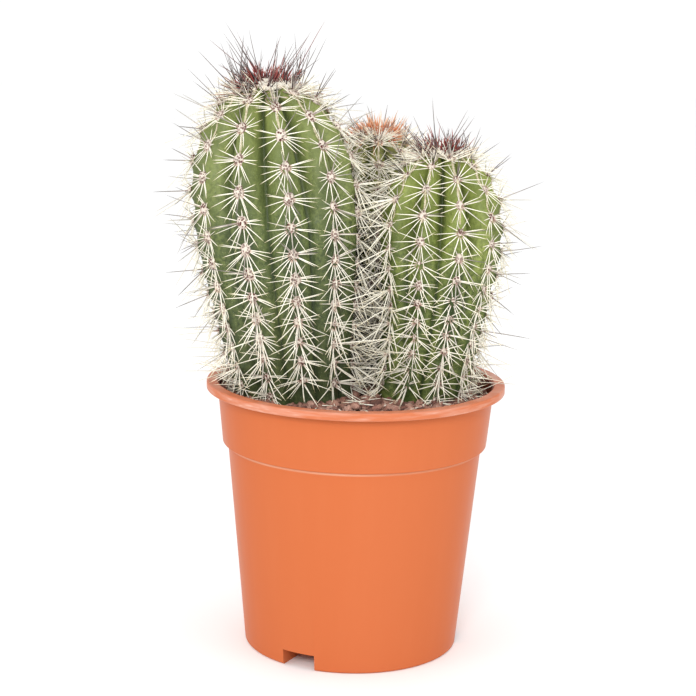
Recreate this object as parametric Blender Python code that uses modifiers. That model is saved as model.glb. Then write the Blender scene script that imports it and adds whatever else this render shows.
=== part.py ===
"""Potted columnar cactus: three ribbed stems, with spines along their ribs, in a moulded nursery pot.

Units are metres and +Z is up. The origin is the centre of the pot's flat base. Bearings are
measured from -Y, the front, towards +X, so a bearing of 90 degrees points along +X.
"""

from dataclasses import dataclass
from math import acos, atan2, cos, pi, radians, sin, sqrt

import bmesh
import bpy
from mathutils import Matrix, Vector

# Clearances and mesh finish
GAP = 0.0003            # left between pieces that touch
SOCKET_GAP = 0.0005     # round a stem, where its steep grooves would thin a smaller gap
MERGE = 0.00001
ROUND_STEPS = 64        # flats round the pot and the soil

# Pot
POT_HEIGHT = 0.1538
RIM_RADIUS = 0.085
LIP_DROP = 0.0044
WALL = 0.0012
COLLAR_TOP_RADIUS = 0.0786
COLLAR_FOOT_RADIUS = 0.0755
COLLAR_FOOT_HEIGHT = 0.1185
STEP_RADIUS = 0.0725
STEP_HEIGHT = 0.1170
BASE_RADIUS = 0.0614
FOOT_CHAMFER = 0.0008

# Drainage channels moulded up into the base, with a bore through each ceiling
CHANNEL_COUNT = 3
CHANNEL_BEARING = radians(-27.7)
CHANNEL_WIDTH = 0.0199
CHANNEL_HEIGHT = 0.0090
CHANNEL_INNER_RADIUS = 0.0370
DRAIN_RADIUS = 0.0035
DRAIN_PLACE_RADIUS = 0.0450

# Filling: (bearing in degrees, distance from the pot's axis, size) of each larger stone
SOIL_TOP = 0.1415
GRIT_TOP = 0.1455
PEBBLES = (
    (0, 0.0440, 0.0062),
    (14, 0.0475, 0.0050),
    (-16, 0.0500, 0.0045),
    (33, 0.0560, 0.0054),
    (-52, 0.0640, 0.0042),
    (74, 0.0690, 0.0056),
    (118, 0.0660, 0.0050),
    (-128, 0.0670, 0.0046),
)

# Stems
GROOVE_SHARE = 0.14     # of the crest radius, the depth of the grooves between the ribs
RING_HEIGHT = 0.0085    # about, of a stem's rings of faces
DOME_SHARE = 0.42       # of those rings, over the dome
ROOT_SHARE = 0.14       # and round the buried end
CREST_STEPS = 400       # on the walk down a crest

# Spine rows: a strip of felt along a rib's crest, widened at each spine cushion
FELT_GAP = 0.0006       # from the crest to the strip
FELT_WIDTH = 0.0032     # at a cushion's upper end
FELT_NECK = 0.0013      # at its lower end
FELT_THICKNESS = 0.0018
CUSHION_LENGTH = 0.0028
LOWEST_CUSHION = 0.0075  # above the grit
EVEN_SHARE = 0.755      # of the stem's height, above which the pitch is the top one
YOUNG_REACH = 1.8       # pitches from the crown to where it is a whole one
CENTRAL_LENGTH = 0.0270
RADIAL_LENGTH = 0.0120
RADIAL_REACH = 0.0075   # at most, sideways
RADIAL_SHARE = 0.75     # of the way to the groove, so that the spines of two ribs stay apart
SPINE_TILT = 0.35       # up and down in turn, from one cushion to the next
NEIGHBOUR_MARGIN = 0.0010
STONE_ROOM = 0.0070      # over the grit, left to the larger stones
CHECKED_SHARES = (0.4, 0.6, 0.8, 1.0)
SHORTER = 0.75          # a spine's length each time it is found to reach too far
MOST_SHORTENINGS = 12
CROWN_THICKNESS = 0.0035
CROWN_SPREAD = 0.3      # how far the tuft's outer spines lean out
CROWN_TRIM = 0.12       # of the tuft's length, between its longer and shorter spines

PARTS = "potted_cactus"
CUTTERS = "cutters"


@dataclass(frozen=True)
class Stem:
    """One ribbed stem: an axis that leans and bends a little, and an outline turned round it."""

    name: str
    colour: tuple
    ribs: int
    crest_bearing: float    # of one rib's crest
    foot: tuple             # x and y where the axis leaves the grit
    foot_lean: tuple        # slope of the axis in x and y there
    top_lean: tuple         # and at the top
    height: float           # from the grit to the top
    widest_at: float
    foot_radius: float
    widest_radius: float
    swell: float            # how late the stem widens
    dome: float             # how blunt the top is
    root: float             # depth in the soil
    crown_radius: float     # of the tuft of young spines on the top
    crown_length: float
    foot_pitch: float       # distance between spine cushions low on the stem
    top_pitch: float        # and high on it
    close_share: float      # of the height, below which the pitch is the low one
    young_pitch: float      # share of the pitch, between the cushions next to the crown
    first_shift: float      # of a pitch, from the crown to the first rib's first cushion
    row_shift: float        # and from one rib's cushions to the next rib's

    def axis_point(self, along):
        bend = along * along / (2 * self.height)
        x, y = (
            start + lean * along + (top - lean) * bend
            for start, lean, top in zip(self.foot, self.foot_lean, self.top_lean)
        )
        return Vector((x, y, GRIT_TOP + along))

    def axis_turn(self, along):
        """The rotation that takes +Z to the axis's direction."""
        share = along / self.height
        slope = [low + (high - low) * share for low, high in zip(self.foot_lean, self.top_lean)]
        return Vector((0, 0, 1)).rotation_difference(Vector((*slope, 1))).to_matrix()

    def crest_radius(self, along):
        if along > self.widest_at:
            share = (along - self.widest_at) / (self.height - self.widest_at)
            return self.widest_radius * sqrt(max(1 - share**self.dome, 0))
        growth = sin(along / self.widest_at * pi / 2) ** self.swell
        return self.foot_radius + (self.widest_radius - self.foot_radius) * growth

    def outline(self, share, deeper=0.0):
        """Height along the axis and crest radius, from the top at 0 to the root's end at 1."""
        root_from = 1 - ROOT_SHARE
        if share < DOME_SHARE:
            turn = share / DOME_SHARE * pi / 2
            along = self.widest_at + (self.height - self.widest_at) * cos(turn) ** (2 / self.dome)
            return along, self.crest_radius(along)
        if share < root_from:
            along = self.widest_at * (root_from - share) / (root_from - DOME_SHARE)
            return along, self.crest_radius(along)
        turn = (share - root_from) / ROOT_SHARE * pi / 2
        return -(self.root + deeper) * sin(turn), self.foot_radius * cos(turn)

    def groove_depth(self, bearing, radius):
        """How far the surface lies inside the crest radius, narrowest at the groove itself."""
        phase = self.ribs * (bearing - self.crest_bearing) / 2
        return GROOVE_SHARE * radius * (1 - sqrt(abs(cos(phase))))

    def place(self, along, radius, bearing, rise=0.0):
        """The point at a radius from the axis on a bearing, and rise further up the axis."""
        out = Vector((radius * sin(bearing), -radius * cos(bearing), rise))
        return self.axis_point(along) + self.axis_turn(along) @ out

    def surface(self, share, bearing, swell=0.0):
        along, radius = self.outline(share, swell)
        if radius > swell:
            radius += swell
        return self.place(along, radius - self.groove_depth(bearing, radius), bearing)

    def crest_walk(self):
        """Down a crest from the top: distance, height along the axis, radius and outward normal."""
        walk = []
        distance = 0.0
        last = self.outline(0)
        for step in range(1, CREST_STEPS + 1):
            here = self.outline(step / CREST_STEPS)
            length = sqrt((here[0] - last[0]) ** 2 + (here[1] - last[1]) ** 2)
            distance += length
            normal = Vector((last[0] - here[0], here[1] - last[1])) / length
            walk.append((distance, here[0], here[1], normal))
            last = here
        return walk

    def crest_frame(self, along, radius, normal, bearing):
        """A crest point, with the directions out of the surface, down the crest and across it."""
        turn = self.axis_turn(along)
        level = Vector((sin(bearing), -cos(bearing), 0))
        out = turn @ Vector((*(level.xy * normal.x), normal.y))
        down = turn @ Vector((*(level.xy * normal.y), -normal.x))
        return self.place(along, radius, bearing), out, down, out.cross(down)

    def clearance(self, point):
        """About how far a point is outside the stem."""
        along = min(max(point.z - GRIT_TOP, 0), self.height)
        return (point - self.axis_point(along)).length - self.crest_radius(along)


LEFT = Stem(
    name="left",
    colour=(0.110, 0.190, 0.075),
    ribs=11,
    crest_bearing=radians(12.2),
    foot=(-0.0345, -0.0060),
    foot_lean=(-0.125, 0.0),
    top_lean=(-0.090, 0.0),
    height=0.1765,
    widest_at=0.1185,
    foot_radius=0.0325,
    widest_radius=0.0460,
    swell=1.4,
    dome=1.8,
    root=0.024,
    crown_radius=0.0140,
    crown_length=0.0280,
    foot_pitch=0.0113,
    top_pitch=0.0176,
    close_share=0.289,
    young_pitch=0.81,
    first_shift=0.915,
    row_shift=0.467,
)
RIGHT = Stem(
    name="right",
    colour=(0.200, 0.300, 0.065),
    ribs=10,
    crest_bearing=radians(15.4),
    foot=(0.0362, -0.0020),
    foot_lean=(0.175, 0.0),
    top_lean=(-0.045, 0.0),
    height=0.1405,
    widest_at=0.0945,
    foot_radius=0.0262,
    widest_radius=0.0342,
    swell=4.0,
    dome=2.0,
    root=0.020,
    crown_radius=0.0100,
    crown_length=0.0240,
    foot_pitch=0.0092,
    top_pitch=0.0148,
    close_share=0.29,
    young_pitch=0.84,
    first_shift=0.190,
    row_shift=0.489,
)
BACK = Stem(
    name="back",
    colour=(0.150, 0.230, 0.080),
    ribs=10,
    crest_bearing=radians(5.0),
    foot=(0.0070, 0.0490),
    foot_lean=(0.0, 0.05),
    top_lean=(0.02, 0.05),
    height=0.1465,
    widest_at=0.1005,
    foot_radius=0.0235,
    widest_radius=0.0295,
    swell=2.0,
    dome=2.6,
    root=0.020,
    crown_radius=0.0130,
    crown_length=0.0200,
    foot_pitch=0.0110,
    top_pitch=0.0145,
    close_share=0.25,
    young_pitch=0.75,
    first_shift=0.3,
    row_shift=0.45,
)
STEMS = (LEFT, RIGHT, BACK)


def clear_scene():
    for old in list(bpy.data.objects):
        bpy.data.objects.remove(old, do_unlink=True)


def new_collection(name):
    collection = bpy.data.collections.new(name)
    bpy.context.scene.collection.children.link(collection)


def new_material(name, colour, roughness):
    material = bpy.data.materials.new(name)
    material.use_nodes = True
    shader = material.node_tree.nodes["Principled BSDF"]
    shader.inputs["Base Color"].default_value = (*colour, 1)
    shader.inputs["Roughness"].default_value = roughness
    shader.inputs["Metallic"].default_value = 0.0
    return material


def new_object(name, mesh, material=None):
    """Links a part, which has a material, or a cutter, which has none."""
    made = bpy.data.objects.new(name, mesh)
    bpy.data.collections[PARTS if material else CUTTERS].objects.link(made)
    if material:
        mesh.materials.append(material)
    else:
        made.hide_render = True
        made.display_type = "WIRE"
    return made


def mesh_object(name, shape, material=None):
    """Ends a bmesh and makes an object of it."""
    bmesh.ops.recalc_face_normals(shape, faces=shape.faces)
    mesh = bpy.data.meshes.new(name)
    shape.to_mesh(mesh)
    shape.free()
    mesh.shade_smooth()
    return new_object(name, mesh, material)


def turned(name, profile, material=None):
    """A closed solid turned about Z from a profile of (radius, height) that starts and ends on it."""
    mesh = bpy.data.meshes.new(name)
    edges = [(start, start + 1) for start in range(len(profile) - 1)]
    mesh.from_pydata([(radius, 0, height) for radius, height in profile], edges, [])
    made = new_object(name, mesh, material)
    screw = made.modifiers.new("turn", "SCREW")
    screw.angle = 2 * pi
    screw.steps = ROUND_STEPS
    screw.render_steps = ROUND_STEPS
    screw.use_merge_vertices = True
    screw.merge_threshold = MERGE
    return made


def cut(piece, *cutters):
    for cutter in cutters:
        modifier = piece.modifiers.new(cutter.name, "BOOLEAN")
        modifier.operation = "DIFFERENCE"
        modifier.object = cutter


def channel_bearings():
    return [CHANNEL_BEARING + number * 2 * pi / CHANNEL_COUNT for number in range(CHANNEL_COUNT)]


def channel_blocks(prefix, grow):
    """The drainage channels' boxes, run out past the wall, and grown where they face the soil."""
    low, high = -0.002, CHANNEL_HEIGHT + grow
    inner, outer = CHANNEL_INNER_RADIUS - grow, BASE_RADIUS + 0.010
    size = Vector((CHANNEL_WIDTH + 2 * grow, outer - inner, high - low))
    centre = Vector((0, -(inner + outer) / 2, (low + high) / 2))
    blocks = []
    for number, bearing in enumerate(channel_bearings(), start=1):
        shape = bmesh.new()
        bmesh.ops.create_cube(shape, size=1)
        bmesh.ops.scale(shape, vec=size, verts=shape.verts)
        bmesh.ops.translate(shape, vec=centre, verts=shape.verts)
        bmesh.ops.rotate(shape, matrix=Matrix.Rotation(bearing, 3, "Z"), verts=shape.verts)
        blocks.append(mesh_object(f"{prefix}_{number}", shape))
    return blocks


def drain_bores():
    bores = []
    for number, bearing in enumerate(channel_bearings(), start=1):
        shape = bmesh.new()
        bmesh.ops.create_cone(
            shape,
            cap_ends=True,
            segments=16,
            radius1=DRAIN_RADIUS,
            radius2=DRAIN_RADIUS,
            depth=8 * WALL,
        )
        place = Vector((sin(bearing), -cos(bearing), 0)) * DRAIN_PLACE_RADIUS
        place.z = CHANNEL_HEIGHT + WALL / 2
        bmesh.ops.translate(shape, vec=place, verts=shape.verts)
        bores.append(mesh_object(f"drain_bore_{number}", shape))
    return bores


def collar_radius(height):
    share = (height - COLLAR_FOOT_HEIGHT) / (POT_HEIGHT - LIP_DROP - COLLAR_FOOT_HEIGHT)
    return COLLAR_FOOT_RADIUS + share * (COLLAR_TOP_RADIUS - COLLAR_FOOT_RADIUS)


def inner_profile(inset, top, floor):
    """The pot's outer wall moved inwards, from the axis at the top to the axis at the floor."""
    foot_radius = BASE_RADIUS + floor / STEP_HEIGHT * (STEP_RADIUS - BASE_RADIUS)
    return [
        (0, top),
        (collar_radius(top) - inset, top),
        (COLLAR_FOOT_RADIUS - inset, COLLAR_FOOT_HEIGHT),
        (STEP_RADIUS - inset, STEP_HEIGHT),
        (foot_radius - inset, floor),
        (0, floor),
    ]


def make_pot():
    """One moulded shell: turned-down lip, collar, step, tapered wall, and a base with channels."""
    lip_foot = POT_HEIGHT - LIP_DROP
    lip_ceiling = POT_HEIGHT - WALL
    outside = [
        (0, POT_HEIGHT),
        (RIM_RADIUS, POT_HEIGHT),
        (RIM_RADIUS, lip_foot),
        (RIM_RADIUS - WALL, lip_foot),
        (RIM_RADIUS - WALL, lip_ceiling),
        (collar_radius(lip_ceiling), lip_ceiling),
        (COLLAR_FOOT_RADIUS, COLLAR_FOOT_HEIGHT),
        (STEP_RADIUS, STEP_HEIGHT),
        (BASE_RADIUS, FOOT_CHAMFER),
        (BASE_RADIUS - FOOT_CHAMFER, 0),
        (0, 0),
    ]
    pot = turned("pot", outside, new_material("pot_plastic", (0.78, 0.22, 0.085), 0.38))
    cavity = turned("pot_cavity", inner_profile(WALL, POT_HEIGHT + WALL, WALL))
    cut(cavity, *channel_blocks("channel_core", WALL))
    cut(pot, cavity, *channel_blocks("channel", 0.0), *drain_bores())


def stem_shape(stem, swell=0.0):
    """A unit sphere's rings and meridians moved to the ribbed surface, with four meridians a rib."""
    shape = bmesh.new()
    bmesh.ops.create_uvsphere(
        shape,
        u_segments=4 * stem.ribs,
        v_segments=round(stem.height / RING_HEIGHT),
        radius=1,
    )
    for vert in shape.verts:
        share = acos(max(-1, min(1, vert.co.z))) / pi
        bearing = stem.crest_bearing + atan2(vert.co.y, vert.co.x)
        vert.co = stem.surface(share, bearing, swell)
    return shape


def make_stem(stem):
    """Makes the stem, and gives back the cutter for its socket."""
    flesh = new_material(f"{stem.name}_flesh", stem.colour, 0.55)
    mesh_object(f"{stem.name}_stem", stem_shape(stem), flesh)
    return mesh_object(f"{stem.name}_socket", stem_shape(stem, SOCKET_GAP))


def make_filling(sockets):
    """Soil that fills the pot, and a bed of grit on it, both hollowed where the stems stand."""
    inset = WALL + GAP
    soil_profile = inner_profile(inset, SOIL_TOP, WALL + GAP)
    soil = turned("soil", soil_profile, new_material("soil_mix", (0.045, 0.026, 0.016), 0.95))
    cut(soil, *channel_blocks("channel_room", inset), *sockets)

    low, high = SOIL_TOP + GAP, GRIT_TOP
    edge = collar_radius(low) - inset
    rounding = 0.001
    bed = [(0, high), (edge - rounding, high), (edge, high - rounding), (edge, low), (0, low)]
    grit = turned("grit_bed", bed, new_material("grit", (0.34, 0.15, 0.10), 0.9))
    cut(grit, *sockets)


def make_pebbles():
    """Larger stones lying on the grit: spheres flattened and lumped, each a little different."""
    lumpiness = 0.12
    flattening = Vector((1.15, 0.95, 0.72))
    material = new_material("pebble_stone", (0.42, 0.19, 0.13), 0.85)
    for number, (degrees, distance, size) in enumerate(PEBBLES, start=1):
        bearing = radians(degrees)
        shape = bmesh.new()
        bmesh.ops.create_icosphere(shape, subdivisions=2, radius=size / 2)
        for vert in shape.verts:
            way = vert.co.normalized()
            vert.co *= 1 + lumpiness * sin(3 * way.x + 2 * number) * cos(4 * way.y + number)
        bmesh.ops.scale(shape, vec=flattening, verts=shape.verts)
        bmesh.ops.rotate(shape, matrix=Matrix.Rotation(2 * number, 3, "Z"), verts=shape.verts)
        place = Vector((sin(bearing), -cos(bearing), 0)) * distance
        place.z = GRIT_TOP + GAP - min(vert.co.z for vert in shape.verts)
        bmesh.ops.translate(shape, vec=place, verts=shape.verts)
        mesh_object(f"pebble_{number:02d}", shape, material)


def is_free(stem, point):
    """Whether a point is clear of the pot and the stones, and nearer its own stem than any other."""
    above = point.z > POT_HEIGHT + GAP
    inside = point.xy.length < COLLAR_FOOT_RADIUS - WALL - GAP and point.z > GRIT_TOP + STONE_ROOM
    others = min(other.clearance(point) for other in STEMS if other is not stem)
    return (above or inside) and others - stem.clearance(point) > NEIGHBOUR_MARGIN


def grow_spine(shape, face, stem, way, length):
    """Draws a face out to a point, as far as it stays free."""
    start = face.calc_center_median()
    for _ in range(MOST_SHORTENINGS):
        if all(is_free(stem, start + way * length * share) for share in CHECKED_SHARES):
            break
        length *= SHORTER
    point = bmesh.ops.poke(shape, faces=[face])["verts"][0]
    point.co = start + way * length


def cushion_places(stem, rib):
    """Height, radius and normal of each spine cushion down a rib's crest, closer together low down."""
    places = []
    start = stem.crown_radius + CUSHION_LENGTH
    pitches = -((stem.first_shift + stem.row_shift * rib) % 1)
    last = start
    for distance, along, radius, normal in stem.crest_walk():
        if along < LOWEST_CUSHION:
            break
        if distance < start:
            continue
        rise = (along / stem.height - stem.close_share) / (EVEN_SHARE - stem.close_share)
        pitch = stem.foot_pitch + (stem.top_pitch - stem.foot_pitch) * min(max(rise, 0), 1)
        age = min(distance / (YOUNG_REACH * stem.top_pitch), 1)
        pitches += (distance - last) / (pitch * (stem.young_pitch + (1 - stem.young_pitch) * age))
        last = distance
        if pitches >= len(places):
            places.append((along, radius, normal))
    return places


def loft(shape, first, second):
    """The four faces between two rings of four corners."""
    pairs = [(corner, (corner + 1) % 4) for corner in range(4)]
    return [shape.faces.new((first[a], first[b], second[b], second[a])) for a, b in pairs]


def strip_ring(shape, frame, slide, width):
    """Four corners across a crest, two on the felt's underside and then two on its top."""
    point, out, down, across = frame
    centre = point + down * slide
    top = FELT_GAP + FELT_THICKNESS
    return [
        shape.verts.new(centre + out * lift + across * side * width / 2)
        for lift, side in ((FELT_GAP, -1), (FELT_GAP, 1), (top, 1), (top, -1))
    ]


def make_spine_row(stem, rib, material):
    """One rib's felt strip, lofted down the crest, with three spines grown from each cushion."""
    bearing = stem.crest_bearing + rib * 2 * pi / stem.ribs
    half_rib = pi / stem.ribs
    shape = bmesh.new()
    last = None
    for number, (along, radius, normal) in enumerate(cushion_places(stem, rib)):
        frame = stem.crest_frame(along, radius, normal, bearing)
        upper = strip_ring(shape, frame, -CUSHION_LENGTH / 2, FELT_WIDTH)
        lower = strip_ring(shape, frame, CUSHION_LENGTH / 2, FELT_NECK)
        if last:
            loft(shape, last, upper)
        else:
            shape.faces.new(upper)
        _, right, top, left = loft(shape, upper, lower)
        _, out, down, across = frame
        tilt = SPINE_TILT if number % 2 else -SPINE_TILT
        grow_spine(shape, top, stem, (out + down * tilt).normalized(), CENTRAL_LENGTH)
        reach = min(RADIAL_REACH, RADIAL_SHARE * half_rib * radius)
        stand = sqrt(RADIAL_LENGTH**2 - reach**2)
        for face, side in ((right, 1), (left, -1)):
            way = across * side * reach + out * stand + down * tilt * side * reach
            grow_spine(shape, face, stem, way.normalized(), RADIAL_LENGTH)
        last = lower
    shape.faces.new(reversed(last))
    mesh_object(f"{stem.name}_rib_{rib + 1:02d}_spines", shape, material)


def make_crown(stem, material):
    """The woolly cushion on a stem's top, with a tuft of young spines: a sphere moulded to the dome."""
    walk = stem.crest_walk()
    shape = bmesh.new()
    bmesh.ops.create_uvsphere(shape, u_segments=8, v_segments=6, radius=1)
    tufted = [face for face in shape.faces if face.calc_center_median().z > 0]
    tufted.sort(key=lambda face: face.calc_center_median().to_tuple(3))
    for vert in shape.verts:
        share = min(vert.co.xy.length, 1)
        lift = FELT_GAP + max(vert.co.z, 0) * CROWN_THICKNESS
        bearing = atan2(vert.co.x, -vert.co.y)
        _, along, radius, normal = next(step for step in walk if step[0] >= share * stem.crown_radius)
        if share < MERGE:
            radius, normal = 0, Vector((0, 1))
        vert.co = stem.place(along, radius + normal.x * lift, bearing, normal.y * lift)
    top = stem.axis_point(stem.height)
    up = stem.axis_turn(stem.height) @ Vector((0, 0, 1))
    for number, face in enumerate(tufted):
        spread = (face.calc_center_median() - top) / stem.crown_radius
        length = stem.crown_length * (1 - CROWN_TRIM * (number % 3))
        grow_spine(shape, face, stem, (up + spread * CROWN_SPREAD).normalized(), length)
    mesh_object(f"{stem.name}_crown_spines", shape, material)


def build():
    clear_scene()
    new_collection(PARTS)
    new_collection(CUTTERS)
    make_pot()
    make_filling([make_stem(stem) for stem in STEMS])
    make_pebbles()
    spine_material = new_material("spine_cream", (0.78, 0.70, 0.56), 0.6)
    for stem in STEMS:
        crown_material = new_material(f"{stem.name}_crown", (0.36, 0.17, 0.10), 0.7)
        make_crown(stem, crown_material)
        for rib in range(stem.ribs):
            make_spine_row(stem, rib, spine_material)


build()
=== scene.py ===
"""The looks of a potted columnar cactus: ribbed stems, needles, felt, grit and a moulded pot.

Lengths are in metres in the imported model's frame: the origin is the centre of the pot's base,
and a bearing is measured from -Y, the front, towards +X.
"""
from dataclasses import dataclass
from math import copysign, cos, pi, radians, sin, sqrt, tau

import bmesh
import bpy
import numpy as np
from mathutils import Matrix, Vector, noise


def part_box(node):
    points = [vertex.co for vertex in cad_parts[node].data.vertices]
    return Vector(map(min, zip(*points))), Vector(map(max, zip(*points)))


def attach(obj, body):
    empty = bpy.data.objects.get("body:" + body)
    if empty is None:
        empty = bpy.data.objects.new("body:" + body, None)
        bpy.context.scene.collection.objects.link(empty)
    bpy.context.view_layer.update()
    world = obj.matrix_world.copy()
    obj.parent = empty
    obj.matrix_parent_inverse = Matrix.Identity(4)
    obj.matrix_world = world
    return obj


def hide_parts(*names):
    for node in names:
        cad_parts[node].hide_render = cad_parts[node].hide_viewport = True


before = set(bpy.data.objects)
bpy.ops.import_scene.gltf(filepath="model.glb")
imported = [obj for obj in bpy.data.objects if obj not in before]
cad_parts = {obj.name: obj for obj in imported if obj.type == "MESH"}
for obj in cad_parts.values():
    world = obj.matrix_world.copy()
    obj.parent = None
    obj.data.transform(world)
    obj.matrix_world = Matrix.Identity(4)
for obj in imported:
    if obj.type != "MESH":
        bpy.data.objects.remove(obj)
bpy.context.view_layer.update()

ROOT = "root"
TINY = 1e-6  # so that a direction has a length

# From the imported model
RIM_RADIUS, _, POT_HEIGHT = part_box("pot")[1]
GRIT_RADIUS, _, GRIT_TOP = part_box("grit_bed")[1]

# The pot's profile
WALL = 0.0012
LIP_DROP = 0.0044
COLLAR_TOP_RADIUS = 0.0786
COLLAR_FOOT_RADIUS = 0.0755
COLLAR_FOOT_HEIGHT = 0.1185
STEP_RADIUS = 0.0725
STEP_HEIGHT = 0.1170
BASE_RADIUS = 0.0614
FOOT_CHAMFER = 0.0008
CORNER_STEPS = 4
CHANNEL_BEARINGS = [radians(-27.7) + number * tau / 3 for number in range(3)]
CHANNEL_WIDTH = 0.0199
CHANNEL_HEIGHT = 0.0090
CHANNEL_INNER_RADIUS = 0.0370
DRAIN_RADIUS = 0.0035
DRAIN_PLACE_RADIUS = 0.0450

# Stems
DOME_SHARE = 0.46  # of a stem's rings, over the dome
ROOT_SHARE = 0.05  # and round the buried end
MERIDIANS_A_RIB = 18
CREST_STEPS = 800
CREST_RISE = 0.0011  # over the smooth form, at a cushion
CREST_SWING = 0.0015  # down from there, between two cushions
DOME_SWING = 0.0013  # and more at the top
SWELLING_DROP = 0.0012  # below its cushion
SWELLING_LENGTH = 0.0040
SWELLING_WIDTH = 0.0046
LUMP_RISE = 0.0008

# Cushions
CUSHION_LENGTH = 0.0028
LOWEST_CUSHION = 0.0040
EVEN_SHARE = 0.755  # of the height, above which the pitch is top_pitch
YOUNG_REACH = 1.8  # pitches from the top, within which it is less again
YOUNG_SPAN = 0.030  # from the crown's edge
SHELTER_GAP = 0.026  # to another stem
FELT_SIZES = (0.0020, 0.0026, 0.0013)
WOOL_SIZES = (0.0019, 0.0019, 0.0015)

# Needles
NEEDLE_SIDES = 5
NEEDLE_SHARES = (0.0, 0.10, 0.42, 0.78)  # of a needle's length, at its rings
NEEDLE_WIDTHS = (1.2, 1.0, 0.82, 0.52)  # and of its width
AGES = 16  # columns of the needle map
FAN_REACH = radians(118)  # of the radials, to each side of down
FAN_FOOT = 0.0018  # from a cushion's middle to its radials' feet
RADIAL_LENGTH = 0.0136
RADIAL_WIDTH = 0.00055
CENTRAL_LENGTH = 0.0215
CENTRAL_WIDTH = 0.00062
YOUNG_LENGTH = 0.0265
YOUNG_NEEDLES = 8
GAP_NEEDLES = 6  # beside the gap to another stem
TURNS = 7  # of a needle that meets a stem, before it is shortened
GROUND_TURNS = 2  # and of one that meets the grit or the lip
SHORTENINGS = 8
CROWN_TUFTS = 11  # each with its own tilt and height

# Ground
GRIT_STONES = 950
GRIT_SIZES = (0.0012, 0.0031)
FALLEN_NEEDLES = 70


@dataclass(frozen=True)
class Stem:
    """One ribbed stem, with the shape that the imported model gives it."""

    name: str
    seed: int
    ribs: int
    rings: int  # of faces
    crest_bearing: float
    foot: tuple  # where the axis meets the grit
    foot_lean: tuple
    top_lean: tuple
    height: float
    widest_at: float
    foot_radius: float
    widest_radius: float
    swell: float  # power of the growth below the widest place
    dome: float  # power of the dome's curve
    root: float  # depth of the buried end
    crown_radius: float
    top_depth: float  # share of the radius that the grooves gain over the dome
    foot_pitch: float  # between cushions, up to close_share of the height
    top_pitch: float
    close_share: float
    young_pitch: float  # share of the pitch at the very top
    first_shift: float  # of the first rib's cushions, in pitches
    row_shift: float  # and of each rib's from the last one's
    cushion_size: float
    radials: tuple  # at the foot and higher up
    radial_size: float
    foot_size: float  # of the radials at the foot, against those higher up
    centrals: int
    young_size: float  # of the dark needles round the crown
    # Partly age, partly painted shade: the back stem's low needles are darker where they sit in the
    # gap
    foot_age_and_shade: float = 0.0  # how much greyer the needles are at the foot
    crown_size: float = 1.0  # of the crown's needles
    crown_long: float = 1.0  # share of the crown's long needles that it has

    def axis(self, along):
        """Points of the axis, one for each height along it."""
        bend = along * along / (2 * self.height)
        x, y = (
            start + lean * along + (top - lean) * bend
            for start, lean, top in zip(self.foot, self.foot_lean, self.top_lean)
        )
        return np.stack([x, y, GRIT_TOP + along], -1)

    def turns(self, along):
        """The rotations that take +Z to the axis's direction."""
        share = along / self.height
        x, y = (low + (top - low) * share for low, top in zip(self.foot_lean, self.top_lean))
        size = np.sqrt(x * x + y * y + 1)
        x, y, z = x / size, y / size, 1 / size
        rows = [
            [1 - x * x / (1 + z), -x * y / (1 + z), x],
            [-x * y / (1 + z), 1 - y * y / (1 + z), y],
            [-x, -y, z],
        ]
        return np.stack([np.stack(row, -1) for row in rows], -2)

    def crest_radius(self, along):
        over = np.clip((along - self.widest_at) / (self.height - self.widest_at), 0, 1)
        under = np.clip(along / self.widest_at, 0, 1)
        growth = np.sin(under * pi / 2) ** self.swell
        low = self.foot_radius + (self.widest_radius - self.foot_radius) * growth
        high = self.widest_radius * np.sqrt(1 - over**self.dome)
        return np.where(along > self.widest_at, high, low)

    def outline(self, share):
        """Height and crest radius, from the top at 0 to the root's end at 1."""
        root_from = 1 - ROOT_SHARE
        turn = np.clip(share / DOME_SHARE, 0, 1) * pi / 2
        dome = self.widest_at + (self.height - self.widest_at) * np.cos(turn) ** (2 / self.dome)
        body = self.widest_at * (root_from - share) / (root_from - DOME_SHARE)
        along = np.where(share < DOME_SHARE, dome, body)
        radius = self.crest_radius(along)
        turn = np.clip((share - root_from) / ROOT_SHARE, 0, 1) * pi / 2
        buried = share > root_from
        along = np.where(buried, -self.root * np.sin(turn), along)
        return along, np.where(buried, self.foot_radius * np.cos(turn), radius)

    def walk(self, steps=CREST_STEPS):
        along, radius = self.outline(np.linspace(0, 1, steps + 1))
        run, drop = np.diff(radius), -np.diff(along)
        length = np.hypot(run, drop)
        normal = np.stack([drop, run], -1) / length[:, None]
        normal = np.concatenate([[[0.0, 1.0]], (normal[1:] + normal[:-1]) / 2, normal[-1:]])
        distance = np.concatenate([[0.0], np.cumsum(length)])
        return Walk(self, distance, along, radius, normal)

    def place(self, along, radius, bearing, rise):
        """Points at a radius from the axis on a bearing, and rise further up the axis."""
        out = np.stack([radius * np.sin(bearing), -radius * np.cos(bearing), rise], -1)
        return self.axis(along) + np.einsum("...ij,...j->...i", self.turns(along), out)

    def rib_bearing(self, rib):
        return self.crest_bearing + rib * tau / self.ribs

    def clearance(self, points):
        """About how far points are outside the stem's crests."""
        along = np.clip(points[..., 2] - GRIT_TOP, 0, self.height)
        away = np.linalg.norm(points - self.axis(along), axis=-1)
        return away - self.crest_radius(along)


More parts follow.
